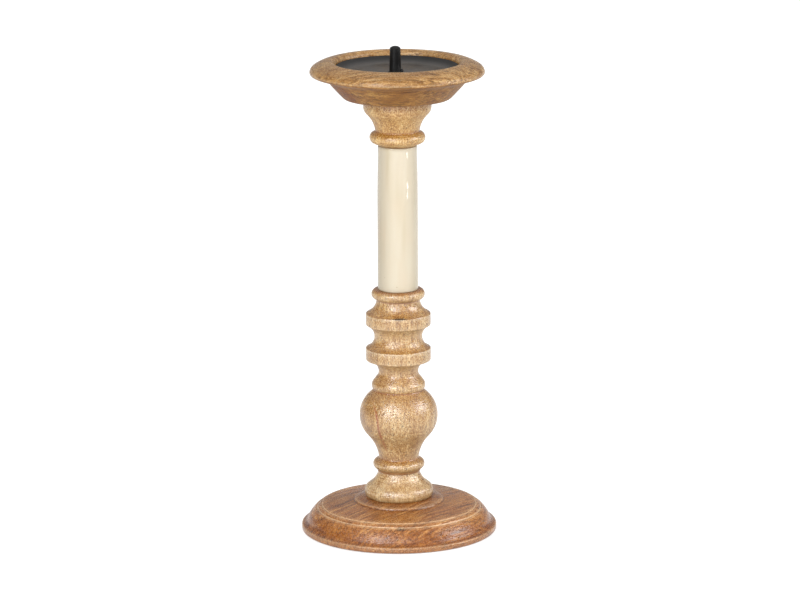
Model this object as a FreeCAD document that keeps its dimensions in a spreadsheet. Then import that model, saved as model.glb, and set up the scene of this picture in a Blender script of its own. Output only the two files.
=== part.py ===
import FreeCAD, Part
import math
import os
import Sketcher

# Turned wooden pillar-candle holder, millimetres, +Z up, origin at the centre of the
# underside.  Every turned piece is drawn from its own lower seat (local height 0) and
# lifted onto the piece below by its Placement, so a change of one height moves the rest.

os.makedirs("parts", exist_ok=True)
doc = FreeCAD.newDocument("candlestick")
sheet = doc.addObject("Spreadsheet::Sheet", "Sizes")
sheet_row = 0


def cell(alias, value):
    """Write one named number into the sheet."""
    global sheet_row
    sheet_row += 1
    sheet.set("A%d" % sheet_row, alias)
    sheet.set("B%d" % sheet_row, "%.6g" % value)
    sheet.setAlias("B%d" % sheet_row, alias)


# Heights and joint sizes shared by more than one piece.
SHARED = {
    "felt_proud": 0.5,
    "felt_recess_depth": 1.0,
    "felt_radius": 55.0,
    "felt_gap": 0.4,
    "base_height": 21.3,
    "bell_height": 16.7,
    "baluster_height": 119.1,
    "column_height": 93.1,
    "capital_height": 30.8,
    "plate_seat_depth": 14.7,
    "plate_thickness": 1.2,
    "rod_radius": 2.9,
    "rod_bore_radius": 3.4,
    "joint_gap": 0.1,
    "bell_spigot_radius": 11.0,
    "bell_spigot_length": 7.0,
    "stem_spigot_radius": 7.5,
    "stem_spigot_length": 9.0,
    "dish_spigot_radius": 13.0,
    "dish_spigot_length": 6.0,
    "socket_relief": 0.6,
    "counterbore_radius": 11.0,
    "counterbore_depth": 9.4,
    "washer_radius": 9.0,
    "washer_bore_radius": 3.2,
    "washer_thickness": 1.6,
    "nut_across_flats": 10.0,
    "nut_height": 5.0,
    "nut_bevel": 0.6,
    "rod_overhang": 1.4,
    "rod_chamfer": 0.6,
    "weld_relief_radius": 7.0,
    "weld_relief_depth": 3.2,
    "rod_weld_leg": 2.4,
    "spike_foot_radius": 3.75,
    "spike_shoulder_radius": 3.35,
    "spike_shoulder_height": 15.4,
    "spike_tip_radius": 1.4,
    "spike_length": 16.6,
    "spike_tip_arc": 3.6,
    "spike_offset": 1.2,
    "spike_weld_leg": 0.9,
    "spike_weld_bead": 1.2,
    "line_radius": 0.5,
    "inner_line_distance": 49.6,
    "inner_line_height": 16.15,
    "outer_line_distance": 52.6,
    "outer_line_height": 14.35,
    "column_arris": 0.6,
}

# Outlines: (corner name, radius, height above the piece's lower seat, arc to next corner).
# The arc is a radius: 0 is straight, above 0 bulges outwards, below 0 is hollow.
OUTLINES = {
    "base": [
        ("underside", 61.9, 0.0, 0.6),
        ("rim_foot", 62.5, 0.6, 0),
        ("rim_top", 62.5, 2.7, 0.8),
        ("rim_arris", 61.6, 3.6, -5.0),
        ("crease", 58.2, 7.6, 19.0),
        ("roll_top", 49.2, 16.3, 0),
        ("plateau", 28.5, 18.4, 0),
        ("seat_edge", 28.2, 19.5, 0),
        ("seat", 21.5, 21.3, 0),
    ],
    "bell": [
        ("underside", 20.7, 0.0, 5.5),
        ("roll_top", 20.1, 7.6, -15.1),
        ("throat", 13.3, 15.9, 0),
        ("top", 13.3, 16.7, 0),
    ],
    "baluster": [
        ("underside", 13.7, 0.0, 0),
        ("foot_bead_start", 14.2, 1.6, 3.16),
        ("foot_bead_end", 14.9, 7.4, 0),
        ("neck", 12.7, 8.7, -26.0),
        ("flare_end", 19.8, 23.9, 19.0),
        ("belly_end", 17.8, 51.9, 0),
        ("belly_groove", 16.0, 53.6, 4.4),
        ("collar_bead_end", 15.9, 59.7, 0),
        ("waist_start", 13.1, 63.4, -6.5),
        ("waist_end", 13.0, 67.6, -7.4),
        ("low_flange_root", 19.6, 72.7, 0),
        ("low_flange_foot", 20.75, 73.2, 0),
        ("low_flange_top", 20.75, 81.0, 0),
        ("scotia_start", 20.0, 81.2, -8.0),
        ("scotia_end", 20.0, 95.8, 0),
        ("high_flange_foot", 20.7, 96.2, 0),
        ("high_flange_top", 20.7, 103.2, 0.5),
        ("quirk", 20.2, 103.7, 0),
        ("cove_start", 19.5, 104.1, -9.7),
        ("cove_end", 13.9, 111.9, 0),
        ("neck_bead_root", 13.9, 113.0, 3.2),
        ("neck_bead_end", 15.2, 119.1, 0),
    ],
    "column": [
        ("underside", 12.3, 0.0, 0.6),
        ("foot", 12.9, 0.6, 0),
        ("shaft", 12.9, 60.0, 900.0),
        ("throat", 12.4, 86.0, 0),
        ("top_arris", 12.5, 92.5, 0.6),
        ("top", 11.9, 93.1, 0),
    ],
    "capital": [
        ("underside", 11.9, 0.0, 0),
        ("quirk", 13.2, 1.0, 0),
        ("bead_start", 14.3, 1.5, 3.75),
        ("bead_end", 15.6, 8.6, 0),
        ("crease", 14.0, 9.3, -18.2),
        ("shoulder_foot", 19.1, 19.9, 7.1),
        ("shoulder_top", 21.65, 24.8, 0),
        ("top", 21.65, 30.8, 0),
    ],
    "dish": [
        ("underside", 33.9, 0.0, 0),
        ("foot", 34.6, 0.5, 0),
        ("flank", 38.2, 4.3, 0),
        ("flank_top", 42.0, 8.4, -9.0),
        ("lip_root", 47.5, 12.6, 0),
        ("lip_arris", 54.1, 14.7, 1.6),
        ("lip_edge", 55.3, 16.3, 5.0),
        ("lip_shoulder", 52.2, 20.2, 21.0),
        ("crest", 42.0, 23.3, 4.0),
        ("recess_lip", 39.0, 20.7, 0),
        ("recess_edge", 39.0, 18.6, -17.0),
        ("recess_floor", 27.0, 14.7, 0),
    ],
    "plate": [
        ("underside", 28.0, 0.0, 16.4),
        ("rim_under", 38.6, 3.9, 0),
        ("rim_top", 38.5, 5.4, -15.2),
        ("floor", 28.0, 1.2, 0),
    ],
}

for alias, value in SHARED.items():
    cell(alias, value)
for piece, corners in OUTLINES.items():
    for corner, radius, height, arc in corners:
        cell("%s_%s_radius" % (piece, corner), radius)
        cell("%s_%s_height" % (piece, corner), height)
        if arc:
            cell("%s_%s_arc" % (piece, corner), abs(arc))
doc.recompute()

SIZE = dict(SHARED)
PARTS = []


def total(*aliases):
    """Expression that adds sheet cells."""
    return " + ".join("Sizes." + alias for alias in aliases)


def plane(body, role):
    """One of the body's own origin planes or axes."""
    for feature in body.Origin.OriginFeatures:
        if feature.Role == role:
            return feature
    raise ValueError(role)


def new_body(label, seat):
    """Empty body lifted to the height given by an expression."""
    body = doc.addObject("PartDesign::Body", label)
    body.Label = label
    if seat:
        body.setExpression("Placement.Base.z", seat)
    PARTS.append(body)
    return body


def new_sketch(body, name, role, height=None):
    """Sketch on one of the body's planes, raised by an expression if one is given."""
    sketch = body.newObject("Sketcher::SketchObject", name)
    sketch.AttachmentSupport = [(plane(body, role), "")]
    sketch.MapMode = "FlatFace"
    if height:
        sketch.setExpression("AttachmentOffset.Base.z", height)
    return sketch


def bind(sketch, kind, target, value, expression):
    """Add a dimension and tie it to the sheet."""
    index = sketch.addConstraint(Sketcher.Constraint(kind, *target, value))
    sketch.setExpression("Constraints[%d]" % index, expression)


def arc_between(start, end, radius):
    """Arc from start to end; a positive radius bulges to the right of travel."""
    half = math.dist(start, end) / 2
    reach = math.sqrt(max(radius ** 2 - half ** 2, 0))
    ux = (end[0] - start[0]) / (2 * half)
    uy = (end[1] - start[1]) / (2 * half)
    side = 1 if radius > 0 else -1
    cx = (start[0] + end[0]) / 2 - uy * reach * side
    cy = (start[1] + end[1]) / 2 + ux * reach * side
    circle = Part.Circle(FreeCAD.Vector(cx, cy, 0), FreeCAD.Vector(0, 0, 1), abs(radius))
    first = math.atan2(start[1] - cy, start[0] - cx)
    last = math.atan2(end[1] - cy, end[0] - cx)
    if side > 0:
        return Part.ArcOfCircle(circle, first, last), (1, 2)
    return Part.ArcOfCircle(circle, last, first), (2, 1)


def turned(label, piece, seat):
    """Body whose outline is revolved about the upright axis."""
    body = new_body(label, seat)
    sketch = new_sketch(body, piece + "_outline", "XZ_Plane")
    corners = OUTLINES[piece]
    path = [(0.0, corners[0][2])]
    path += [(radius, height) for _, radius, height, _ in corners]
    path += [(0.0, corners[-1][2])]
    arcs = [0] + [corner[3] for corner in corners] + [0]
    ends = []
    for index, start in enumerate(path):
        end = path[(index + 1) % len(path)]
        if arcs[index]:
            shape, order = arc_between(start, end, arcs[index])
        else:
            shape = Part.LineSegment(FreeCAD.Vector(*start, 0), FreeCAD.Vector(*end, 0))
            order = (1, 2)
        ends.append((sketch.addGeometry(shape, False), order))
    for index, (edge, order) in enumerate(ends):
        following, next_order = ends[(index + 1) % len(ends)]
        sketch.addConstraint(
            Sketcher.Constraint("Coincident", edge, order[1], following, next_order[0]))
    sketch.addConstraint(Sketcher.Constraint("PointOnObject", ends[0][0], 1, -2))
    sketch.addConstraint(Sketcher.Constraint("Vertical", ends[-1][0]))
    sketch.addConstraint(Sketcher.Constraint("Horizontal", ends[0][0]))
    sketch.addConstraint(Sketcher.Constraint("Horizontal", ends[-2][0]))
    for index, (corner, radius, height, arc) in enumerate(corners):
        edge, order = ends[index + 1]
        name = "%s_%s" % (piece, corner)
        bind(sketch, "DistanceX", (-1, 1, edge, order[0]), radius, "Sizes.%s_radius" % name)
        if height:
            bind(sketch, "DistanceY", (-1, 1, edge, order[0]), height, "Sizes.%s_height" % name)
        else:
            sketch.addConstraint(Sketcher.Constraint("PointOnObject", edge, order[0], -1))
        if arc:
            bind(sketch, "Radius", (edge,), abs(arc), "Sizes.%s_arc" % name)
    spin = body.newObject("PartDesign::Revolution", piece + "_turning")
    spin.Profile = sketch
    spin.ReferenceAxis = (sketch, ["V_Axis"])
    spin.Angle = 360
    sketch.Visibility = False
    doc.recompute()
    return body


def disc_sketch(body, name, radius, height=None, value=1.0):
    """Circle about the axis, on the level given by an expression."""
    sketch = new_sketch(body, name + "_circle", "XY_Plane", height)
    circle = Part.Circle(FreeCAD.Vector(0, 0, 0), FreeCAD.Vector(0, 0, 1), value)
    edge = sketch.addGeometry(circle, False)
    sketch.addConstraint(Sketcher.Constraint("Coincident", edge, 3, -1, 1))
    bind(sketch, "Radius", (edge,), value, radius)
    sketch.Visibility = False
    doc.recompute()
    return sketch


def add_disc(body, name, radius, length, height=None, down=False):
    """Round pad, upwards unless down is asked for."""
    pad = body.newObject("PartDesign::Pad", name)
    pad.Profile = disc_sketch(body, name, radius, height)
    pad.setExpression("Length", length)
    pad.Reversed = down
    doc.recompute()
    return pad


def cut_disc(body, name, radius, depth, height=None, up=False):
    """Round pocket, downwards from its level unless up is asked for; no depth goes through."""
    pocket = body.newObject("PartDesign::Pocket", name)
    pocket.Profile = disc_sketch(body, name, radius, height)
    if depth:
        pocket.setExpression("Length", depth)
    else:
        pocket.Type = "ThroughAll"
    pocket.Reversed = up
    before = pocket.BaseFeature.Shape.Volume
    doc.recompute()
    if pocket.Shape.Volume >= before:
        raise RuntimeError(body.Label + ": " + name + " removed nothing")
    return pocket


def turned_line(body, name, distance, height):
    """Fine round-bottomed line cut into the turned surface."""
    sketch = new_sketch(body, name + "_section", "XZ_Plane")
    centre = FreeCAD.Vector(SIZE[distance], SIZE[height], 0)
    circle = Part.Circle(centre, FreeCAD.Vector(0, 0, 1), SIZE["line_radius"])
    edge = sketch.addGeometry(circle, False)
    bind(sketch, "Radius", (edge,), SIZE["line_radius"], "Sizes.line_radius")
    bind(sketch, "DistanceX", (-1, 1, edge, 3), centre.x, "Sizes." + distance)
    bind(sketch, "DistanceY", (-1, 1, edge, 3), centre.y, "Sizes." + height)
    sketch.Visibility = False
    groove = body.newObject("PartDesign::Groove", name)
    groove.Profile = sketch
    groove.ReferenceAxis = (sketch, ["V_Axis"])
    groove.Angle = 360
    doc.recompute()
    return groove


def socket(body, name, size, seat, up=False):
    """Blind socket with a little slack round and beyond the spigot that fills it."""
    radius = total(size + "_spigot_radius", "joint_gap")
    depth = total(size + "_spigot_length", "socket_relief")
    return cut_disc(body, name, radius, depth, seat, up)


def spigot(body, name, size, seat=None, down=True):
    """Round spigot standing out of a joint face."""
    radius = total(size + "_spigot_radius")
    return add_disc(body, name, radius, total(size + "_spigot_length"), seat, down)


BORE = total("rod_bore_radius")

# Base disc: felt recess, counterbore for the nut, rod bore and a socket for the bell.
STACK = ["felt_proud"]
base = turned("base_disc", "base", total(*STACK))
turned_line(base, "inner_line", "inner_line_distance", "inner_line_height")
turned_line(base, "outer_line", "outer_line_distance", "outer_line_height")
cut_disc(base, "felt_recess", total("felt_radius", "felt_gap"), total("felt_recess_depth"),
         None, True)
cut_disc(base, "nut_counterbore", total("counterbore_radius"), total("counterbore_depth"),
         None, True)
socket(base, "bell_socket", "bell", total("base_height"))
cut_disc(base, "rod_bore", BORE, None, total("base_height"))

# Foot bell: the paler turning between the base and the baluster.
STACK.append("base_height")
bell = turned("foot_bell", "bell", total(*STACK))
spigot(bell, "foot_spigot", "bell")
socket(bell, "stem_socket", "stem", total("bell_height"))
cut_disc(bell, "rod_bore", BORE, None, total("bell_height"))

# Baluster: beads, belly, two flanges and the hollow between them, in one turning.
STACK.append("bell_height")
baluster = turned("baluster", "baluster", total(*STACK))
spigot(baluster, "foot_spigot", "stem")
socket(baluster, "stem_socket", "stem", total("baluster_height"))
cut_disc(baluster, "rod_bore", BORE, None, total("baluster_height"))

# Column: the enamelled shaft, slightly waisted under its top.
STACK.append("baluster_height")
column = turned("enamelled_column", "column", total(*STACK))
spigot(column, "foot_spigot", "stem")
socket(column, "stem_socket", "stem", total("column_height"))
cut_disc(column, "rod_bore", BORE, None, total("column_height"))

# Capital: spigots both ways, into the column and up into the dish.
STACK.append("column_height")
capital = turned("capital", "capital", total(*STACK))
spigot(capital, "foot_spigot", "stem")
spigot(capital, "dish_spigot", "dish", total("capital_height"), False)
cut_disc(capital, "rod_bore", BORE, None, total("capital_height", "dish_spigot_length"))

# Candle dish: socket below, plate recess above, relief for the rod's weld.
STACK.append("capital_height")
dish = turned("candle_dish", "dish", total(*STACK))
socket(dish, "capital_socket", "dish", None, True)
cut_disc(dish, "weld_relief", total("weld_relief_radius"), total("weld_relief_depth"),
         total("plate_seat_depth"))
cut_disc(dish, "rod_bore", BORE, None, total("plate_seat_depth"))

# Drip plate: shallow pressed steel pan.
STACK.append("plate_seat_depth")
drip_plate = turned("drip_plate", "plate", total(*STACK))

# Pricket spike: tapered, with a rounded-off blunt tip.
plate_floor = total(*STACK, "plate_thickness")
spike = new_body("pricket_spike", plate_floor)
# The spike was welded on a little to the left of the plate's middle.
spike.setExpression("Placement.Base.x", "-Sizes.spike_offset")
spike_sketch = new_sketch(spike, "spike_outline", "XZ_Plane")
spike_path = [
    (0, 0, None, None),
    (SIZE["spike_foot_radius"], 0, "spike_foot_radius", None),
    (SIZE["spike_shoulder_radius"], SIZE["spike_shoulder_height"],
     "spike_shoulder_radius", "spike_shoulder_height"),
    (SIZE["spike_tip_radius"], SIZE["spike_length"], "spike_tip_radius", "spike_length"),
    (0, SIZE["spike_length"], None, None),
]
spike_edges = []
for index, corner in enumerate(spike_path):
    begin = corner[:2]
    finish = spike_path[(index + 1) % len(spike_path)][:2]
    if index == 2:
        shape, order = arc_between(begin, finish, SIZE["spike_tip_arc"])
    else:
        shape = Part.LineSegment(FreeCAD.Vector(*begin, 0), FreeCAD.Vector(*finish, 0))
    spike_edges.append(spike_sketch.addGeometry(shape, False))
for index, edge in enumerate(spike_edges):
    following = spike_edges[(index + 1) % len(spike_edges)]
    spike_sketch.addConstraint(Sketcher.Constraint("Coincident", edge, 2, following, 1))
spike_sketch.addConstraint(Sketcher.Constraint("Coincident", spike_edges[0], 1, -1, 1))
spike_sketch.addConstraint(Sketcher.Constraint("Horizontal", spike_edges[0]))
spike_sketch.addConstraint(Sketcher.Constraint("Horizontal", spike_edges[3]))
spike_sketch.addConstraint(Sketcher.Constraint("Vertical", spike_edges[4]))
bind(spike_sketch, "Radius", (spike_edges[2],), SIZE["spike_tip_arc"], "Sizes.spike_tip_arc")
for edge, (x, y, across, along) in zip(spike_edges, spike_path):
    if across:
        bind(spike_sketch, "DistanceX", (-1, 1, edge, 1), x, "Sizes." + across)
    if along:
        bind(spike_sketch, "DistanceY", (-1, 1, edge, 1), y, "Sizes." + along)
spike_turning = spike.newObject("PartDesign::Revolution", "spike_turning")
spike_turning.Profile = spike_sketch
spike_turning.ReferenceAxis = (spike_sketch, ["V_Axis"])
spike_turning.Angle = 360
spike_sketch.Visibility = False
doc.recompute()


def fillet_weld(label, seat, inner, leg, upwards):
    """Ring weld: a cone with the round bar taken out of it."""
    cone = doc.addObject("Part::Cone", label + "_cone")
    cone.setExpression("Radius1", "%s + %s" % (inner, leg) if upwards else inner)
    cone.setExpression("Radius2", inner if upwards else "%s + %s" % (inner, leg))
    cone.setExpression("Height", leg)
    bar = doc.addObject("Part::Cylinder", label + "_bar")
    bar.setExpression("Radius", inner)
    bar.setExpression("Height", leg)
    ring = doc.addObject("Part::Cut", label)
    ring.Base = cone
    ring.Tool = bar
    ring.setExpression("Placement.Base.z", seat)
    doc.recompute()
    return ring


# Weld round the spike's foot, with the heavier lump at one side where the run ended.
weld_ring = fillet_weld("spike_weld_ring", None, total("spike_foot_radius"),
                        total("spike_weld_leg"), True)
weld_lump = doc.addObject("Part::Sphere", "spike_weld_lump")
weld_lump.setExpression("Radius", total("spike_weld_bead"))
weld_lump.setExpression("Placement.Base.x", total("spike_foot_radius")
                        + " + 0.2 * Sizes.spike_weld_bead")
weld_lump.setExpression("Placement.Base.z", "0.8 * Sizes.spike_weld_bead")
weld_sum = doc.addObject("Part::Fuse", "spike_weld_sum")
weld_sum.Base = weld_ring
weld_sum.Tool = weld_lump
weld_stock = doc.addObject("Part::Cylinder", "spike_weld_stock")
weld_stock.setExpression("Radius", "3 * Sizes.spike_foot_radius")
weld_stock.setExpression("Height", "4 * Sizes.spike_weld_bead")
weld_above = doc.addObject("Part::Common", "spike_weld_above")
weld_above.Base = weld_sum
weld_above.Tool = weld_stock
weld_core = doc.addObject("Part::Cylinder", "spike_weld_core")
weld_core.setExpression("Radius", total("spike_foot_radius"))
weld_core.setExpression("Height", "4 * Sizes.spike_weld_bead")
spike_weld = doc.addObject("Part::Cut", "spike_weld")
spike_weld.Base = weld_above
spike_weld.Tool = weld_core
spike_weld.Label = "spike_weld"
spike_weld.setExpression("Placement.Base.z", plate_floor)
spike_weld.setExpression("Placement.Base.x", "-Sizes.spike_offset")
PARTS.append(spike_weld)

# Tie rod: from under the plate down through the whole stem to the nut in the base.
rod_top = total(*STACK)
rod_foot = "Sizes.felt_proud + Sizes.counterbore_depth - Sizes.washer_thickness"
rod_foot += " - Sizes.nut_height - Sizes.rod_overhang"
rod = new_body("tie_rod", rod_foot)
rod_bar = add_disc(rod, "rod_bar", total("rod_radius"), "(%s) - (%s)" % (rod_top, rod_foot))
low_edges = ["Edge%d" % (number + 1) for number, edge in enumerate(rod_bar.Shape.Edges)
             if edge.BoundBox.ZMax - rod_bar.Shape.BoundBox.ZMin < 0.01]
rod_end = rod.newObject("PartDesign::Chamfer", "rod_end")
rod_end.Base = (rod_bar, low_edges)
rod_end.setExpression("Size", total("rod_chamfer"))
doc.recompute()

# Weld that holds the rod under the plate, inside the dish's relief.
rod_weld = fillet_weld("rod_weld", "%s - Sizes.rod_weld_leg" % rod_top, total("rod_radius"),
                       total("rod_weld_leg"), False)
PARTS.append(rod_weld)

# Washer and hexagon nut in the counterbore.
washer_seat = "Sizes.felt_proud + Sizes.counterbore_depth - Sizes.washer_thickness"
washer = new_body("base_washer", washer_seat)
add_disc(washer, "washer_blank", total("washer_radius"), total("washer_thickness"))
cut_disc(washer, "washer_bore", total("washer_bore_radius"), None, total("washer_thickness"))

nut = new_body("base_nut", washer_seat + " - Sizes.nut_height")
nut_sketch = new_sketch(nut, "nut_hexagon", "XY_Plane")
nut_corner = SIZE["nut_across_flats"] / math.sqrt(3)
hexagon = [FreeCAD.Vector(nut_corner * math.cos(math.radians(60 * step)),
                          nut_corner * math.sin(math.radians(60 * step)), 0)
           for step in range(6)]
flats = []
for step in range(6):
    side = Part.LineSegment(hexagon[step], hexagon[(step + 1) % 6])
    flats.append(nut_sketch.addGeometry(side, False))
guide = nut_sketch.addGeometry(
    Part.Circle(FreeCAD.Vector(0, 0, 0), FreeCAD.Vector(0, 0, 1), nut_corner), True)
nut_sketch.addConstraint(Sketcher.Constraint("Coincident", guide, 3, -1, 1))
for step in range(6):
    nut_sketch.addConstraint(
        Sketcher.Constraint("Coincident", flats[step], 2, flats[(step + 1) % 6], 1))
    nut_sketch.addConstraint(Sketcher.Constraint("PointOnObject", flats[step], 1, guide))
    if step:
        nut_sketch.addConstraint(Sketcher.Constraint("Equal", flats[0], flats[step]))
nut_sketch.addConstraint(Sketcher.Constraint("PointOnObject", flats[0], 1, -1))
bind(nut_sketch, "Radius", (guide,), nut_corner, "Sizes.nut_across_flats / sqrt(3)")
nut_sketch.Visibility = False
nut_block = nut.newObject("PartDesign::Pad", "nut_block")
nut_block.Profile = nut_sketch
nut_block.setExpression("Length", total("nut_height"))
doc.recompute()
cut_disc(nut, "nut_bore", total("rod_radius"), None, total("nut_height"))

# Felt pad glued into the recess under the base, standing just proud of the wood.
felt = new_body("felt_pad", None)
add_disc(felt, "felt_disc", total("felt_radius"), total("felt_proud", "felt_recess_depth"))

doc.recompute()
for item in doc.Objects:
    for state in ("Invalid", "Error"):
        if state in item.State:
            raise RuntimeError(item.Name + " is " + state)
for item in PARTS:
    if item.Shape.isNull() or not item.Shape.isValid():
        raise RuntimeError(item.Label + " has no valid shape")
    if len(item.Shape.Solids) != 1:
        raise RuntimeError("%s has %d solids" % (item.Label, len(item.Shape.Solids)))
    item.Shape.exportStep("parts/" + item.Label + ".step")
    print(item.Label, round(item.Shape.Volume), item.Shape.BoundBox)
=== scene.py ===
import math

import bmesh
import bpy
from mathutils import Matrix, Vector


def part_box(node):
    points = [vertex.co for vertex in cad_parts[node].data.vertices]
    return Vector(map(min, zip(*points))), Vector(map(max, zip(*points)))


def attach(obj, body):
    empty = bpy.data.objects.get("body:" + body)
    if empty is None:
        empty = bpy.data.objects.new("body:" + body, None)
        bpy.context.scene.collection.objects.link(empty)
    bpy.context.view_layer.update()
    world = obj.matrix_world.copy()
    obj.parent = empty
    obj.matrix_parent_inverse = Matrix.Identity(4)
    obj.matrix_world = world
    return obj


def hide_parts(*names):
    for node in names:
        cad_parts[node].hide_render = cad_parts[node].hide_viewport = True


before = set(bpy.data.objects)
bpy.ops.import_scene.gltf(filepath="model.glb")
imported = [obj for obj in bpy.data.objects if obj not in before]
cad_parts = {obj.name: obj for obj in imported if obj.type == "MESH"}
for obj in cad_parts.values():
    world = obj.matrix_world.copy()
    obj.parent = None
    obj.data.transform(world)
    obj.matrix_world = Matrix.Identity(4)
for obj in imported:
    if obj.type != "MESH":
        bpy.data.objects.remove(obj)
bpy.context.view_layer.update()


MM = 0.001

# ---------------------------------------------------------------- camera
# A long lens a little under three metres away, looking down about thirteen degrees.
CAMERA_DISTANCE = 2.7237
CAMERA_HEIGHT = 0.7866
CAMERA_PITCH = math.radians(13.15)
CAMERA_ROLL = math.radians(-0.25)
CAMERA_TURN = math.radians(-0.0248)

camera_data = bpy.data.cameras.new("camera")
camera_data.lens = 197.8
camera_data.sensor_width = 36.0
camera_data.clip_end = 100.0
camera = bpy.data.objects.new("camera", camera_data)
bpy.context.scene.collection.objects.link(camera)
camera.matrix_world = (
    Matrix.Translation((0.0, -CAMERA_DISTANCE, CAMERA_HEIGHT))
    @ Matrix.Rotation(CAMERA_TURN, 4, "Z")
    @ Matrix.Rotation(math.pi / 2 - CAMERA_PITCH, 4, "X")
    @ Matrix.Rotation(CAMERA_ROLL, 4, "Z")
)
bpy.context.scene.camera = camera


# ---------------------------------------------------------------- shader helper
# How much brighter a paint looks under these lamps than its own colour.
LAMP_GAIN = 1.85


def srgb(red, green, blue):
    """Linear colour from 0-255 display values."""
    linear = []
    for value in (red, green, blue):
        value /= 255.0
        linear.append(value / 12.92 if value <= 0.04045 else ((value + 0.055) / 1.055) ** 2.4)
    return (*linear, 1.0)


def shown(red, green, blue):
    """Paint colour that comes out as the given display colour under this scene's lamps."""
    return (*[part / LAMP_GAIN for part in srgb(red, green, blue)[:3]], 1.0)


class Shader:
    """A material's node tree with short calls for the nodes used here."""

    def __init__(self, name):
        self.material = bpy.data.materials.new(name)
        self.material.use_nodes = True
        self.nodes = self.material.node_tree.nodes
        self.links = self.material.node_tree.links
        self.surface = self.nodes["Principled BSDF"]

    def plug(self, socket, value):
        """Links another node's output to a socket, or sets a plain value on it."""
        if isinstance(value, bpy.types.NodeSocket):
            self.links.new(value, socket)
        else:
            socket.default_value = value

    def place(self):
        """Object position in millimetres."""
        coords = self.nodes.new("ShaderNodeTexCoord")
        scale = self.nodes.new("ShaderNodeVectorMath")
        scale.operation = "SCALE"
        self.links.new(coords.outputs["Object"], scale.inputs[0])
        scale.inputs["Scale"].default_value = 1.0 / MM
        return scale.outputs["Vector"]

    def mapped(self, vector, turn=(0, 0, 0), scale=(1, 1, 1), shift=(0, 0, 0)):
        node = self.nodes.new("ShaderNodeMapping")
        self.links.new(vector, node.inputs["Vector"])
        node.inputs["Location"].default_value = shift
        node.inputs["Rotation"].default_value = [math.radians(angle) for angle in turn]
        node.inputs["Scale"].default_value = scale
        return node.outputs["Vector"]

    def noise(self, vector, scale=1.0, detail=3.0, roughness=0.5, distortion=0.0):
        node = self.nodes.new("ShaderNodeTexNoise")
        self.links.new(vector, node.inputs["Vector"])
        node.inputs["Scale"].default_value = scale
        node.inputs["Detail"].default_value = detail
        node.inputs["Roughness"].default_value = roughness
        node.inputs["Distortion"].default_value = distortion
        return node.outputs["Fac"]

    def noise_along(self, value, scale=1.0, detail=2.0):
        node = self.nodes.new("ShaderNodeTexNoise")
        node.noise_dimensions = "1D"
        self.plug(node.inputs["W"], value)
        node.inputs["Scale"].default_value = scale
        node.inputs["Detail"].default_value = detail
        return node.outputs["Fac"]

    def cells(self, vector, scale=1.0):
        """Distance to the nearest of many scattered points."""
        node = self.nodes.new("ShaderNodeTexVoronoi")
        self.links.new(vector, node.inputs["Vector"])
        node.inputs["Scale"].default_value = scale
        return node.outputs["Distance"]

    def attribute(self, name):
        node = self.nodes.new("ShaderNodeAttribute")
        node.attribute_name = name
        return node.outputs["Fac"]

    def split(self, vector):
        node = self.nodes.new("ShaderNodeSeparateXYZ")
        self.links.new(vector, node.inputs["Vector"])
        return node.outputs["X"], node.outputs["Y"], node.outputs["Z"]

    def maths(self, operation, first, second=0.0, third=None):
        node = self.nodes.new("ShaderNodeMath")
        node.operation = operation
        self.plug(node.inputs[0], first)
        self.plug(node.inputs[1], second)
        if third is not None:
            self.plug(node.inputs[2], third)
        return node.outputs["Value"]

    def from_axis(self, x, y):
        """Length of the vector with these two parts."""
        squares = self.maths("ADD", self.maths("MULTIPLY", x, x), self.maths("MULTIPLY", y, y))
        return self.maths("SQRT", squares)

    def steps(self, value, low, high, to_low=0.0, to_high=1.0, smooth=True):
        """Goes from to_low to to_high while the value goes from low to high."""
        node = self.nodes.new("ShaderNodeMapRange")
        node.interpolation_type = "SMOOTHSTEP" if smooth else "LINEAR"
        self.plug(node.inputs["Value"], value)
        node.inputs["From Min"].default_value = low
        node.inputs["From Max"].default_value = high
        node.inputs["To Min"].default_value = to_low
        node.inputs["To Max"].default_value = to_high
        return node.outputs["Result"]

    def ramp(self, value, stops):
        node = self.nodes.new("ShaderNodeValToRGB")
        self.plug(node.inputs["Fac"], value)
        band = node.color_ramp
        while len(band.elements) < len(stops):
            band.elements.new(0.5)
        for element, (position, colour) in zip(band.elements, stops):
            element.position = position
            element.color = colour
        return node.outputs["Color"]

    def mix(self, amount, first, second, blend="MIX"):
        node = self.nodes.new("ShaderNodeMix")
        node.data_type = "RGBA"
        node.blend_type = blend
        self.plug(node.inputs[0], amount)
        self.plug(node.inputs[6], first)
        self.plug(node.inputs[7], second)
        return node.outputs[2]

    def bump(self, height, distance, strength=1.0, under=None):
        node = self.nodes.new("ShaderNodeBump")
        self.links.new(height, node.inputs["Height"])
        node.inputs["Distance"].default_value = distance
        node.inputs["Strength"].default_value = strength
        if under is not None:
            self.links.new(under, node.inputs["Normal"])
        return node.outputs["Normal"]

    def finish(self, colour, roughness, normal=None, **fixed):
        self.plug(self.surface.inputs["Base Color"], colour)
        self.plug(self.surface.inputs["Roughness"], roughness)
        if normal is not None:
            self.links.new(normal, self.surface.inputs["Normal"])
        for name, value in fixed.items():
            self.surface.inputs[name.replace("_", " ")].default_value = value
        return self.material


# ---------------------------------------------------------------- wood
# Painted shade: the broad hollows are a little darker and yellower, and the tops of the ledges
# more so.
COVE_SHADE_TINT = (0.97, 0.91, 0.76, 1.0)
LEDGE_SHADE_TINT = (0.84, 0.70, 0.46, 1.0)


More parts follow.
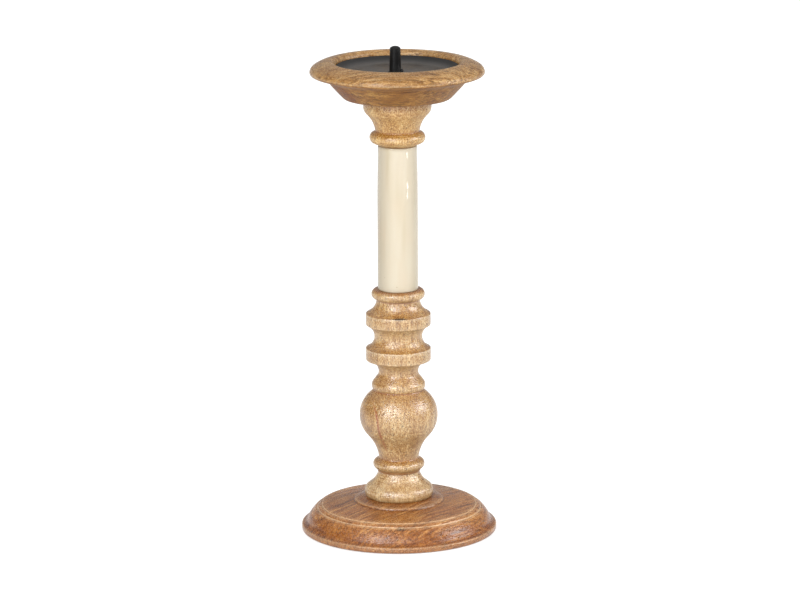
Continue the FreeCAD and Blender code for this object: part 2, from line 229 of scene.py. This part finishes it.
def wood(name, dark, middle, light, turn=(0, 0, 0), shift=(0, 0, 0), ring=5.0, heart=None,
         flaw=None, crease_stain_and_shade=(148, 80, 16), ticks_amount=0.7, bands_amount=0.5,
         grit_amount=0.7, fibre_amount=0.6, glint=0.7, seat_stain_and_shade=None,
         underside_shade_tint=(1.0, 1.0, 1.0, 1.0), turned_amount=0.15, streak_amount=0.25,
         foot_shade_tint=None, light_and_shade_patches=()):
    """Lacquered open-pored wood; the grain runs along the mapped Z axis.

    The colours are display values, ring is the width of a growth band in millimetres, and the
    amounts say how far each layer moves the tone. Some pieces have marks of their own, placed in
    millimetres from the origin:
    heart: x, half width, lowest and highest z, colour
    flaw: centre, radii, colour
    stain: radius, strength, colour; darkened polish with painted shade round a seat
    blotches: a list of centre, inner radius, outer radius, tint; patches of painted highlight and
    painted shade
    """
    shader = Shader(name)
    place = shader.place()
    grain = shader.mapped(place, turn=turn, shift=shift)

    # Growth bands: distance from a pith that lies outside the piece, bent by slow noise.
    slow = shader.noise(shader.mapped(grain, scale=(0.035, 0.035, 0.014)), detail=2.0)
    across_x, across_y, _ = shader.split(grain)
    pith_x = shader.maths("ADD", across_x, shader.maths("MULTIPLY", slow, 30.0))
    bands = shader.noise_along(shader.from_axis(pith_x, across_y), 1.0 / ring, 4.0)

    # Fibres drawn out along the grain, and the grit of cut end pores over everything.
    fibre = shader.noise(shader.mapped(grain, scale=(0.55, 0.55, 0.05)), detail=5.0, roughness=0.7)
    hair = shader.noise(shader.mapped(grain, scale=(1.5, 1.5, 0.16)), detail=2.0, roughness=0.6)
    patches = shader.noise(shader.mapped(grain, scale=(0.08, 0.08, 0.04)), detail=2.0)
    grit = shader.noise(shader.mapped(grain, scale=(1.5, 1.5, 0.8)), detail=1.5, roughness=0.7)
    fine = shader.noise(shader.mapped(grain, scale=(2.2, 2.2, 1.3)), detail=2.0, roughness=0.6)
    long_pore = shader.cells(shader.mapped(grain, scale=(0.75, 0.75, 0.22)))
    short_pore = shader.cells(shader.mapped(grain, scale=(0.8, 0.8, 0.5), shift=(31, 17, 5)))
    long_tick = shader.maths("MULTIPLY", shader.steps(long_pore, 0.30, 0.14),
                             shader.steps(bands, 0.42, 0.58))
    short_tick = shader.maths("MULTIPLY", shader.steps(short_pore, 0.32, 0.14),
                              shader.steps(patches, 0.42, 0.62))
    ticks = shader.maths("MAXIMUM", long_tick, short_tick)

    # Tool marks are fine rings that follow the turned outline.
    rings = shader.noise_along(shader.attribute("along"), 1.2, 3.0)

    tone = shader.maths("MULTIPLY_ADD", shader.maths("SUBTRACT", bands, 0.5), bands_amount, 0.5)
    for layer, amount in ((fibre, fibre_amount), (hair, 0.5), (patches, 0.35),
                          (grit, grit_amount), (fine, grit_amount), (rings, turned_amount)):
        tone = shader.maths("MULTIPLY_ADD", shader.maths("SUBTRACT", layer, 0.5), amount, tone)
    colour = shader.ramp(tone, [(0.22, shown(*dark)), (0.50, shown(*middle)),
                                (0.74, shown(*light))])
    # Long dark vessel lines.
    vessels = shader.noise(shader.mapped(grain, scale=(0.62, 0.62, 0.022), shift=(7, 3, 11)),
                           detail=4.0, roughness=0.65)
    streaks = shader.maths("MULTIPLY", shader.steps(vessels, 0.50, 0.38), streak_amount)
    colour = shader.mix(streaks, colour, shown(*[part * 0.72 for part in dark]))
    pore_colour = tuple(part * 0.55 for part in shown(*dark)[:3]) + (1.0,)
    colour = shader.mix(shader.maths("MULTIPLY", ticks, ticks_amount), colour, pore_colour)

    if heart:
        # A reddish heartwood streak that follows the grain.
        centre, width, low, high, red = heart
        x, y, z = shader.split(place)
        bend = shader.noise(shader.mapped(place, scale=(0.05, 0.05, 0.045)), detail=2.0)
        lean = shader.maths("MULTIPLY_ADD", shader.maths("SUBTRACT", z, low), -0.27, centre)
        offset = shader.maths("SUBTRACT", x, shader.maths("MULTIPLY_ADD", bend, 8.0, lean))
        streak = shader.steps(shader.maths("ABSOLUTE", offset), width, width * 0.25)
        streak = shader.maths("MULTIPLY", streak, shader.steps(z, low - 6, low + 6))
        streak = shader.maths("MULTIPLY", streak, shader.steps(z, high + 5, high - 7))
        streak = shader.maths("MULTIPLY", streak, shader.steps(y, 0.0, -8.0))
        streak = shader.maths("MULTIPLY", streak, shader.steps(fibre, 0.25, 0.6))
        colour = shader.mix(shader.maths("MULTIPLY", streak, 0.8), colour, shown(*red))
    if flaw:
        # A small dark knot or crack with a ragged edge.
        centre, radii, black = flaw
        inside = shader.mapped(place, scale=[1.0 / size for size in radii],
                               shift=[-spot / size for spot, size in zip(centre, radii)])
        length = shader.nodes.new("ShaderNodeVectorMath")
        length.operation = "LENGTH"
        shader.links.new(inside, length.inputs[0])
        ragged = shader.maths("ADD", length.outputs["Value"], shader.maths("MULTIPLY", fine, 0.8))
        colour = shader.mix(shader.steps(ragged, 1.6, 0.7, 0.0, 0.9), colour, shown(*black))
    if seat_stain_and_shade:
        # Polish that has darkened round the next piece's seat, with painted shade there too, where
        # that piece shades the disc.
        stain_radius, strength, seat_stain_and_shade_tone = seat_stain_and_shade
        x, y, _ = shader.split(place)
        inside = shader.steps(shader.from_axis(x, y), stain_radius + 2.0, stain_radius - 1.0)
        colour = shader.mix(shader.maths("MULTIPLY", inside, strength), colour,
                            shown(*seat_stain_and_shade_tone))
    for centre, inner, outer, tint in light_and_shade_patches:
        # Patches of painted highlight and painted shade, where light falls more or less.
        apart = shader.nodes.new("ShaderNodeVectorMath")
        apart.operation = "DISTANCE"
        shader.links.new(place, apart.inputs[0])
        apart.inputs[1].default_value = centre
        colour = shader.mix(shader.steps(apart.outputs["Value"], outer, inner), colour, tint,
                            "MULTIPLY")
    if foot_shade_tint:
        # Painted shade: the lowest part is darker.
        _, _, rise = shader.split(place)
        colour = shader.mix(shader.steps(rise, 15.5, 7.0), colour, foot_shade_tint, "MULTIPLY")

    # Stain and painted shade gather in the quirks, and the arrises are rubbed thin and carry a
    # painted highlight.
    hollow = shader.attribute("hollow")
    arris = shader.attribute("arris")
    # Painted shade: the downward faces are darker.
    colour = shader.mix(shader.attribute("under"), colour, underside_shade_tint, "MULTIPLY")
    # Painted shade in the broad hollows and on the tops of the ledges.
    colour = shader.mix(shader.attribute("cove"), colour, COVE_SHADE_TINT, "MULTIPLY")
    colour = shader.mix(shader.attribute("ledge"), colour, LEDGE_SHADE_TINT, "MULTIPLY")
    # Stain and painted shade in the creases and at the ends.
    colour = shader.mix(shader.maths("MULTIPLY", hollow, 0.8), colour, shown(*crease_stain_and_shade))
    # Wear and a painted highlight on the arrises.
    wear_and_highlight = shader.maths("MULTIPLY", arris, shader.steps(grit, 0.3, 0.7, 0.25, 0.8))
    pale_wear_and_highlight = shown(*[part * 0.65 + 255 * 0.35 for part in light])
    colour = shader.mix(wear_and_highlight, colour, pale_wear_and_highlight)
    # A painted highlight along the cut lines.
    line_highlight = shader.maths("MULTIPLY", shader.attribute("line"),
                           shader.steps(fibre, 0.3, 0.6, 0.3, 0.8))
    colour = shader.mix(line_highlight, colour, pale_wear_and_highlight)

    # Pores are open under thin lacquer.
    roughness = shader.maths("ADD", shader.steps(grit, 0.3, 0.7, 0.19, 0.34),
                             shader.maths("MULTIPLY", ticks, 0.2))
    roughness = shader.maths("MULTIPLY_ADD", shader.attribute("under"), 0.3, roughness)
    relief = shader.maths("MULTIPLY_ADD", fine, 0.5, grit)
    normal = shader.bump(rings, 0.00008)
    normal = shader.bump(shader.maths("SUBTRACT", relief, ticks), 0.00018, under=normal)
    return shader.finish(colour, roughness, normal, IOR=1.5, Specular_IOR_Level=glint)


stem_wood = wood("stem_wood", (136, 86, 32), (199, 152, 89), (240, 207, 152),
                 shift=(70, 55, 10), ring=4.5, bands_amount=0.45, grit_amount=0.82, glint=1.0,
                 heart=(-11.5, 1.1, 54.0, 86.0, (164, 78, 36)),
                 flaw=((0.9, -20.2, 142.2), (6.0, 2.2, 0.9), (44, 24, 11)))
# A painted highlight lightens the front of the capital's shoulder.
capital_wood = wood("capital_wood", (140, 88, 30), (208, 159, 88), (244, 210, 148),
                    shift=(40, -60, 25), ring=5.5, bands_amount=0.25, fibre_amount=0.35,
                    grit_amount=1.0, ticks_amount=0.55, glint=0.6, turned_amount=0.35,
                    light_and_shade_patches=[((1.5, -20.5, 276.0), 3, 11, (1.2, 1.22, 1.32, 1.0))])
bell_wood = wood("bell_wood", (152, 104, 48), (205, 162, 104), (245, 214, 163),
                 shift=(-40, 90, 33), ring=6.0, ticks_amount=0.55, bands_amount=0.25,
                 turned_amount=0.5, glint=1.0)
# Painted shade darkens the dish's downward faces and the left of its flank.
dish_wood = wood("dish_wood", (120, 72, 26), (184, 136, 77), (224, 184, 126),
                 turn=(0, 90, 0), shift=(-330, 30, 60), ring=3.2, bands_amount=0.5,
                 grit_amount=0.42, fibre_amount=0.9, glint=0.3, streak_amount=0.6,
                 underside_shade_tint=(0.72, 0.58, 0.29, 1.0),
                 light_and_shade_patches=[((-38, -24, 281), 10, 17, (0.74, 0.54, 0.30, 1.0))])
# Painted shade darkens the lowest part of the base and, with darker polish, the ring round the
# bell's seat.
base_wood = wood("base_wood", (112, 58, 21), (180, 113, 50), (226, 166, 98),
                 turn=(85, -45, 0), shift=(20, 45, 40), ring=2.4, bands_amount=0.4,
                 grit_amount=0.30, fibre_amount=0.95, streak_amount=0.55, ticks_amount=0.4,
                 glint=0.5,
                 flaw=((0.8, -52.5, 13.8), (3.6, 2.6, 1.6), (30, 15, 9)),
                 crease_stain_and_shade=(92, 48, 22), seat_stain_and_shade=(27.5, 0.45, (124, 74, 36)),
                 foot_shade_tint=(0.78, 0.66, 0.44, 1.0))


# ---------------------------------------------------------------- other finishes
def enamel():
    """Brushed cream enamel under a clear coat."""
    shader = Shader("cream_enamel")
    place = shader.place()
    broad = shader.noise(shader.mapped(place, scale=(0.10, 0.10, 0.012)), detail=2.0)
    cloud = shader.noise(shader.mapped(place, scale=(0.05, 0.05, 0.03)), detail=3.0)
    peel = shader.noise(place, scale=0.32, detail=2.0)
    colour = shader.ramp(broad, [(0.30, shown(209, 195, 165)), (0.50, shown(218, 205, 180)),
                                 (0.72, shown(222, 212, 189))])
    colour = shader.mix(shader.steps(cloud, 0.50, 0.78, 0.0, 0.35), colour, shown(226, 204, 176))
    dust = shader.cells(shader.mapped(place, scale=(0.11, 0.11, 0.11)))
    colour = shader.mix(shader.steps(dust, 0.07, 0.03, 0.0, 0.35), colour, shown(150, 128, 98))
    # Painted shade: the column is darker round the left side, and a little at the right, where
    # less light falls.
    across, _, _ = shader.split(place)
    for start, end, tint in ((-3.0, -12.9, (0.80, 0.79, 0.77, 1.0)),
                             (5.0, 12.9, (0.90, 0.90, 0.89, 1.0))):
        colour = shader.mix(shader.steps(across, start, end), colour, tint, "MULTIPLY")
    edge = shader.attribute("arris")
    colour = shader.mix(shader.maths("MULTIPLY", edge, 0.35), colour, shown(196, 168, 128))
    roughness = shader.steps(cloud, 0.3, 0.7, 0.34, 0.42)
    normal = shader.bump(peel, 0.00006)
    return shader.finish(colour, roughness, normal, Coat_Weight=0.6, Coat_Roughness=0.04, IOR=1.5,
                         Specular_IOR_Level=0.2)


def powder_coat(name, base, rough_low, rough_high, grain, rim=None, glint=0.5):
    """Black powder coat with a fine orange peel; rim is the radius where a pressed rim starts."""
    shader = Shader(name)
    place = shader.place()
    peel = shader.noise(place, scale=grain, detail=3.0, roughness=0.6)
    smear = shader.noise(shader.mapped(place, scale=(0.08, 0.05, 0.08)), detail=3.0)
    colour = shader.ramp(smear, [(0.3, srgb(*base)),
                                 (0.7, srgb(*[part + 10 for part in base]))])
    roughness = shader.steps(smear, 0.3, 0.7, rough_low, rough_high)
    if rim:
        # The pressed rim is duller than the flat floor, and painted darker as shade from the
        # dish's lip.
        x, y, _ = shader.split(place)
        edge = shader.steps(shader.from_axis(x, y), rim, rim + 7.0)
        colour = shader.mix(edge, colour, srgb(10, 9, 9))
        roughness = shader.maths("MULTIPLY_ADD", edge, 0.25, roughness)
    normal = shader.bump(peel, 0.00012, 0.6)
    return shader.finish(colour, roughness, normal, IOR=1.5, Specular_IOR_Level=glint)


def steel(name, base, rough_low, rough_high):
    """Bare or plated steel with drawing marks along Z."""
    shader = Shader(name)
    place = shader.place()
    drawn = shader.noise(shader.mapped(place, scale=(1.2, 1.2, 0.05)), detail=3.0)
    colour = shader.ramp(drawn, [(0.3, srgb(*base)), (0.7, srgb(*[part + 22 for part in base]))])
    normal = shader.bump(drawn, 0.00004)
    return shader.finish(colour, shader.steps(drawn, 0.3, 0.7, rough_low, rough_high), normal,
                         Metallic=1.0)


def felt_cloth():
    """Dark brown wool felt."""
    shader = Shader("felt")
    place = shader.place()
    fibres = shader.noise(place, scale=2.2, detail=5.0, roughness=0.7, distortion=1.4)
    cloud = shader.noise(place, scale=0.12, detail=2.0)
    tone = shader.maths("ADD", shader.maths("MULTIPLY", fibres, 0.7),
                        shader.maths("MULTIPLY", cloud, 0.3))
    colour = shader.ramp(tone, [(0.32, srgb(30, 24, 20)), (0.6, srgb(72, 60, 50))])
    normal = shader.bump(fibres, 0.0004, 0.8)
    return shader.finish(colour, shader.steps(fibres, 0.3, 0.7, 0.82, 0.98), normal,
                         Sheen_Weight=0.35, Sheen_Roughness=0.4)


enamel_finish = enamel()
plate_finish = powder_coat("black_plate", (47, 45, 43), 0.28, 0.42, 1.6, rim=31.0, glint=0.4)
spike_finish = powder_coat("black_spike", (8, 8, 8), 0.34, 0.5, 1.1, glint=0.2)
rod_finish = steel("plain_steel", (150, 148, 145), 0.34, 0.5)
zinc_finish = steel("zinc_steel", (190, 192, 196), 0.22, 0.36)
felt_finish = felt_cloth()

# ---------------------------------------------------------------- turned pieces
# Corners are (radius, height, arc to the next corner) in millimetres, as in the CAD model:
# an arc above 0 bulges outwards and one below 0 is hollow.
OUTLINES = {
    "base_disc": [
        (61.9, 0.0, 0.6), (62.5, 0.6, 0), (62.5, 2.7, 0.8), (61.6, 3.6, -5.0), (58.2, 7.6, 19.0),
        (49.2, 16.3, 0), (28.5, 18.4, 0), (28.2, 19.5, 0), (21.5, 21.3, 0),
    ],
    "foot_bell": [(20.7, 0.0, 5.5), (20.1, 7.6, -15.1), (13.3, 15.9, 0), (13.3, 16.7, 0)],
    "baluster": [
        (13.7, 0.0, 0), (14.2, 1.6, 3.16), (14.9, 7.4, 0), (12.7, 8.7, -26.0),
        (19.8, 23.9, 19.0), (17.8, 51.9, 0), (16.0, 53.6, 4.4), (15.9, 59.7, 0),
        (13.1, 63.4, -6.5), (13.0, 67.6, -7.4), (19.6, 72.7, 0), (20.75, 73.2, 0),
        (20.75, 81.0, 0), (20.0, 81.2, -8.0), (20.0, 95.8, 0), (20.7, 96.2, 0),
        (20.7, 103.2, 0.5), (20.2, 103.7, 0), (19.5, 104.1, -9.7), (13.9, 111.9, 0),
        (13.9, 113.0, 3.2), (15.2, 119.1, 0),
    ],
    "enamelled_column": [
        (12.3, 0.0, 0.6), (12.9, 0.6, 0), (12.9, 60.0, 900.0), (12.4, 86.0, 0),
        (12.5, 92.5, 0.6), (11.9, 93.1, 0),
    ],
    "capital": [
        (11.9, 0.0, 0), (13.2, 1.0, 0), (14.3, 1.5, 3.75), (15.6, 8.6, 0), (14.0, 9.3, -18.2),
        (19.1, 19.9, 7.1), (21.65, 24.8, 0), (21.65, 30.8, 0),
    ],
    "candle_dish": [
        (33.9, 0.0, 0), (34.6, 0.5, 0), (38.2, 4.3, 0), (42.0, 8.4, -9.0), (47.5, 12.6, 0),
        (54.1, 14.7, 1.6), (55.3, 16.3, 5.0), (52.2, 20.2, 21.0), (42.0, 23.3, 4.0),
        (39.0, 20.7, 0), (39.0, 18.6, -17.0), (27.0, 14.7, 0),
    ],
    "drip_plate": [(28.0, 0.0, 16.4), (38.6, 3.9, 0), (38.5, 5.4, -15.2), (28.0, 1.2, 0)],
}
# Fine lines cut into the top of a piece: (radius, depth, half width).
LINES = {"base_disc": [(49.6, 0.5, 0.5), (52.6, 0.5, 0.5)]}
# They are cut only above this height.
LINES_ABOVE = 10.0
# What a turned piece's mesh stores for its material at each outline point.
MARKS = ("hollow", "arris", "along", "under", "line", "cove", "ledge")
# How far stain spreads from a piece's ends, and how far painted shadow from the dish, with some
# stain, reaches down the capital from its upper end.
END_STAIN = 1.6
CAPITAL_TOP_SHADOW = 6.5
# The capital's hidden spigot reaches this far above its outline.
CAPITAL_SPIGOT = 6.0


def arc_points(start, end, radius, step):
    """Points from start towards end along an arc; a positive radius bulges to the right."""
    half = math.dist(start, end) / 2
    reach = math.sqrt(max(radius ** 2 - half ** 2, 0.0))
    side = 1 if radius > 0 else -1
    ux = (end[0] - start[0]) / (2 * half)
    uy = (end[1] - start[1]) / (2 * half)
    cx = (start[0] + end[0]) / 2 - uy * reach * side
    cy = (start[1] + end[1]) / 2 + ux * reach * side
    first = math.atan2(start[1] - cy, start[0] - cx)
    sweep = 2 * math.asin(min(1.0, half / abs(radius))) * side
    count = max(2, math.ceil(abs(radius * sweep) / step))
    return [(cx + abs(radius) * math.cos(first + sweep * index / count),
             cy + abs(radius) * math.sin(first + sweep * index / count))
            for index in range(count)]


def outline_points(corners, step=0.2):
    """Close-set points along an outline given by its corners and arcs."""
    points = []
    for (x, y, arc), (next_x, next_y, _) in zip(corners, corners[1:]):
        if arc:
            points += arc_points((x, y), (next_x, next_y), arc, step)
        else:
            count = max(1, math.ceil(math.dist((x, y), (next_x, next_y)) / step))
            points += [(x + (next_x - x) * index / count, y + (next_y - y) * index / count)
                       for index in range(count)]
    points.append(corners[-1][:2])
    return points


def eased(points, rounds):
    """Softens every corner a little, as sanding does; the end points stay."""
    for _ in range(rounds):
        middle = [((a[0] + 2 * b[0] + c[0]) / 4, (a[1] + 2 * b[1] + c[1]) / 4)
                  for a, b, c in zip(points, points[1:], points[2:])]
        points = [points[0], *middle, points[-1]]
    return points


def scored(points, lines):
    """Cuts fine lines into the upper side of the outline."""
    cut = []
    for radius, height in points:
        for distance, depth, half in lines:
            if abs(radius - distance) < half and height > LINES_ABOVE:
                height -= depth * math.sqrt(1 - ((radius - distance) / half) ** 2)
        cut.append((radius, height))
    return cut


def on_line(point, lines, reach):
    """Whether a point of the outline lies on, or within reach of, a cut line."""
    radius, height = point
    return height > LINES_ABOVE and any(abs(radius - line[0]) < reach for line in lines)


def turning(points, index, reach):
    """Signed bend of the outline round one point, in radians; above 0 is hollow."""
    before = points[max(0, index - reach)]
    here = points[index]
    after = points[min(len(points) - 1, index + reach)]
    first = math.atan2(here[1] - before[1], here[0] - before[0])
    second = math.atan2(after[1] - here[1], after[0] - here[0])
    bend = (second - first + math.pi) % (2 * math.pi) - math.pi
    return -bend


def thinned(points, bend_limit, gap, lines):
    """Indices worth keeping: where the outline turns, and at least one in each gap."""
    keep = [0]
    for index in range(1, len(points) - 1):
        last = points[keep[-1]]
        here = points[index]
        heading = math.atan2(points[index + 1][1] - here[1], points[index + 1][0] - here[0])
        began = points[keep[-1] + 1]
        old = math.atan2(began[1] - last[1], began[0] - last[0])
        bend = abs((heading - old + math.pi) % (2 * math.pi) - math.pi)
        if bend > bend_limit or math.dist(last, here) > gap or on_line(here, lines, 1.2):
            keep.append(index)
    keep.append(len(points) - 1)
    return keep


def clipped(value):
    return min(1.0, max(0.0, value))


def surface_marks(points, seed, lines, ledges, top_stain_and_shadow):
    """The values of MARKS at each point of the outline."""
    end = len(points) - 1
    bends = [turning(points, index, 3) for index in range(end + 1)]
    bends[0] = bends[-1] = 0.0
    travel = [0.0]
    for first, second in zip(points, points[1:]):
        travel.append(travel[-1] + math.dist(first, second))
    marks = []
    for index, (radius, _) in enumerate(points):
        window = bends[max(0, index - 3):index + 4]
        bend = sum(window) / len(window)
        before = points[max(0, index - 1)]
        after = points[min(end, index + 1)]
        lean = (after[0] - before[0]) / max(0.001, math.dist(before, after))
        line_highlight = 1.0 if on_line(points[index], lines, 0.45) else 0.0
        # Stain and painted shade stay in a quirk only where the turning overhangs it, and the
        # painted highlight on an arris fades where it faces down and on level edges.
        above = points[min(end, index + 6)][0] - radius
        shade = 1.0 if above > 0.1 or not ledges else 0.15
        tilt = clipped(max(3 * lean, -2.2 * lean - 0.5 if ledges else 0.0))
        # The two ends took more stain where the next pieces meet them; at the capital's upper end
        # it is mostly painted shadow from the dish.
        to_end = min(travel[index] / END_STAIN, (travel[-1] - travel[index]) / top_stain_and_shadow)
        end_stain_and_shadow = clipped(1.0 - to_end) * 0.8 if ledges else 0.0
        marks.append((
            max(end_stain_and_shadow, clipped(bend * 2.2 - 0.15) * (1.0 - line_highlight) * shade),
            clipped(-bend * 2.0 - 0.2) * (1.0 - tilt),
            travel[index] + seed,
            clipped(lean * 1.4),
            line_highlight,
            clipped(turning(points, index, 14) * 0.9),
            clipped(-lean * 1.4 - 0.28) if ledges else 0.0,
        ))
    return marks


def lathe(name, corners, seat, segments, finish, ease, seed, lines, ledges):
    """Turned piece, smooth all round, with its marks stored for the material.

    The ease is how often the outline is softened, and the seed moves the tool rings along.
    """
    points = eased(scored(eased(outline_points(corners), ease), lines), 1)
    # The capital's upper end carries painted shadow from the dish.
    top_stain_and_shadow = CAPITAL_TOP_SHADOW if name.endswith("capital") else END_STAIN
    marks = surface_marks(points, seed, lines, ledges, top_stain_and_shadow)
    work = bmesh.new()
    layers = [work.verts.layers.float.new(mark) for mark in MARKS]
    rings = []
    for index in thinned(points, math.radians(5), 2.2, lines):
        radius, height = points[index]
        ring = []
        for step in range(segments):
            angle = 2 * math.pi * step / segments
            vertex = work.verts.new((radius * MM * math.cos(angle), radius * MM * math.sin(angle),
                                     seat + height * MM))
            for layer, mark in zip(layers, marks[index]):
                vertex[layer] = mark
            ring.append(vertex)
        rings.append(ring)
    for lower, upper in zip(rings, rings[1:]):
        for step in range(segments):
            after = (step + 1) % segments
            work.faces.new((lower[step], lower[after], upper[after], upper[step]))
    work.faces.new(list(reversed(rings[0])))
    work.faces.new(rings[-1])
    bmesh.ops.recalc_face_normals(work, faces=work.faces)
    mesh = bpy.data.meshes.new(name)
    work.to_mesh(mesh)
    work.free()
    for face in mesh.polygons:
        face.use_smooth = len(face.vertices) == 4
    mesh.set_sharp_from_angle(angle=math.radians(60))
    piece = bpy.data.objects.new(name, mesh)
    bpy.context.scene.collection.objects.link(piece)
    piece.data.materials.append(finish)
    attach(piece, "root")
    return piece


# Each turned node's finish, material slot and number of segments round the axis.
FINISHES = {
    "base_disc": (base_wood, "base_wood", 224),
    "foot_bell": (bell_wood, "bell_wood", 144),
    "baluster": (stem_wood, "stem_wood", 144),
    "enamelled_column": (enamel_finish, "cream_enamel", 128),
    "capital": (capital_wood, "stem_wood", 144),
    "candle_dish": (dish_wood, "dish_wood", 208),
    "drip_plate": (plate_finish, "black_coat", 192),
}
for node, (finish, slot, segments) in FINISHES.items():
    corners = OUTLINES[node]
    low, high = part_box(node)
    # Outlines start at a piece's own foot, but hidden spigots may reach past either end.
    if node in ("candle_dish", "drip_plate"):
        seat = low.z
    else:
        spigot = CAPITAL_SPIGOT if node == "capital" else 0.0
        seat = high.z - (corners[-1][1] + spigot) * MM
    piece = lathe("turned_" + node, corners, seat, segments, finish,
                  ease=2 if node == "drip_plate" else 5, seed=37.0 * len(node),
                  lines=LINES.get(node, ()), ledges=node in ("baluster", "capital"))
    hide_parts(node)


def repaint(node, finish):
    """Gives a CAD node one finish all over."""
    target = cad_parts[node]
    target.data.materials.clear()
    target.data.materials.append(finish)
    for face in target.data.polygons:
        face.material_index = 0


for node, finish in (("pricket_spike", spike_finish), ("spike_weld", spike_finish),
                     ("tie_rod", rod_finish), ("rod_weld", rod_finish),
                     ("base_washer", zinc_finish), ("base_nut", zinc_finish),
                     ("felt_pad", felt_finish)):
    repaint(node, finish)
# The weld's mesh holds one triangle without area, and closing up its corners removes it.
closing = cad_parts["spike_weld"].modifiers.new("close_up", "WELD")
closing.merge_threshold = 0.001 * MM

# ---------------------------------------------------------------- floor and light
floor_mesh = bpy.data.meshes.new("floor")
work = bmesh.new()
bmesh.ops.create_grid(work, x_segments=1, y_segments=1, size=30.0)
work.to_mesh(floor_mesh)
work.free()
floor = bpy.data.objects.new("floor", floor_mesh)
# A hair below zero, so the felt's underside and the paper do not lie in one plane.
floor.location = (0, 0, -0.0001)
bpy.context.scene.collection.objects.link(floor)
floor_shader = Shader("floor_paper")
_, floor_depth, _ = floor_shader.split(floor_shader.place())
floor_shader.finish(srgb(192, 192, 192), 0.9, Specular_IOR_Level=0.1,
                    Emission_Color=(1.0, 1.0, 1.0, 1.0))
# The lamps fade towards the back, so the paper's own glow makes up for it there.
floor_shader.plug(floor_shader.surface.inputs["Emission Strength"],
                  floor_shader.steps(floor_depth, -600.0, 2200.0, 0.46, 0.78, smooth=False))
floor.data.materials.append(floor_shader.material)


def softbox(name, azimuth, elevation, distance, width, height, power):
    """Area light aimed at the middle of the stem; azimuth 0 is in front, positive to the right."""
    data = bpy.data.lights.new(name, "AREA")
    data.shape = "RECTANGLE"
    data.size = width
    data.size_y = height
    data.energy = power
    lamp = bpy.data.objects.new(name, data)
    bpy.context.scene.collection.objects.link(lamp)
    turn = math.radians(azimuth)
    lift = math.radians(elevation)
    target = Vector((0, 0, 0.15))
    away = Vector((math.sin(turn) * math.cos(lift), -math.cos(turn) * math.cos(lift),
                   math.sin(lift)))
    lamp.location = target + away * distance
    lamp.rotation_euler = away.to_track_quat("Z", "Y").to_euler()
    return lamp


softbox("front", 4, 24, 2.6, 1.6, 1.4, 25.5)
softbox("left_window", -31, 27, 1.9, 0.34, 1.35, 35)
softbox("right_window", 83, 25, 1.9, 1.2, 0.8, 30)
# A long low strip just out of the picture puts a sheen on every upright surface.
strip = softbox("low_strip", 0, 0, 1.0, 2.2, 0.14, 2.1)
strip.location = (-0.05, -0.8, 0.075)
strip.rotation_euler = Vector((0, -1, -0.09)).to_track_quat("Z", "Y").to_euler()
# Two small cards low at the right, seen in the gloss of the enamel.
for name, height in (("card_high", 0.239), ("card_low", 0.225)):
    card = softbox(name, 0, 0, 1.0, 0.07, 0.010, 0.05)
    spot = Vector((0.0063, -0.0113, height))
    heading = Vector((0.8329, -0.5175, -0.1979))
    card.location = spot + heading * 0.6
    card.rotation_euler = heading.to_track_quat("Z", "Y").to_euler()

world = bpy.data.worlds.new("studio")
bpy.context.scene.world = world
world.use_nodes = True
# Dim at the horizon and bright overhead, so the sides of the piece fall off.
sky_nodes = world.node_tree.nodes
sky_links = world.node_tree.links
sky_nodes["Background"].inputs["Color"].default_value = (1.0, 1.0, 1.0, 1.0)
direction = sky_nodes.new("ShaderNodeTexCoord")
parts = sky_nodes.new("ShaderNodeSeparateXYZ")
sky_links.new(direction.outputs["Generated"], parts.inputs["Vector"])


def sky_steps(axis, low, high, to_low, to_high):
    """Brightness that goes smoothly from one value to another along a direction's axis."""
    node = sky_nodes.new("ShaderNodeMapRange")
    node.interpolation_type = "SMOOTHSTEP"
    node.inputs["From Min"].default_value = low
    node.inputs["From Max"].default_value = high
    node.inputs["To Min"].default_value = to_low
    node.inputs["To Max"].default_value = to_high
    sky_links.new(parts.outputs[axis], node.inputs["Value"])
    return node.outputs["Result"]


glow = sky_nodes.new("ShaderNodeMath")
sky_links.new(sky_steps("Z", 0.3, 1.0, 0.22, 1.0), glow.inputs[0])
# The white paper sweeps up behind the piece; level polished surfaces mirror it.
sky_links.new(sky_steps("Y", 0.45, 0.85, 0.0, 0.22), glow.inputs[1])
sky_links.new(glow.outputs["Value"], sky_nodes["Background"].inputs["Strength"])

settings = bpy.context.scene.view_settings
settings.view_transform = "Standard"
settings.look = "None"
settings.exposure = 0.0
settings.gamma = 1.0

bpy.context.view_layer.update()
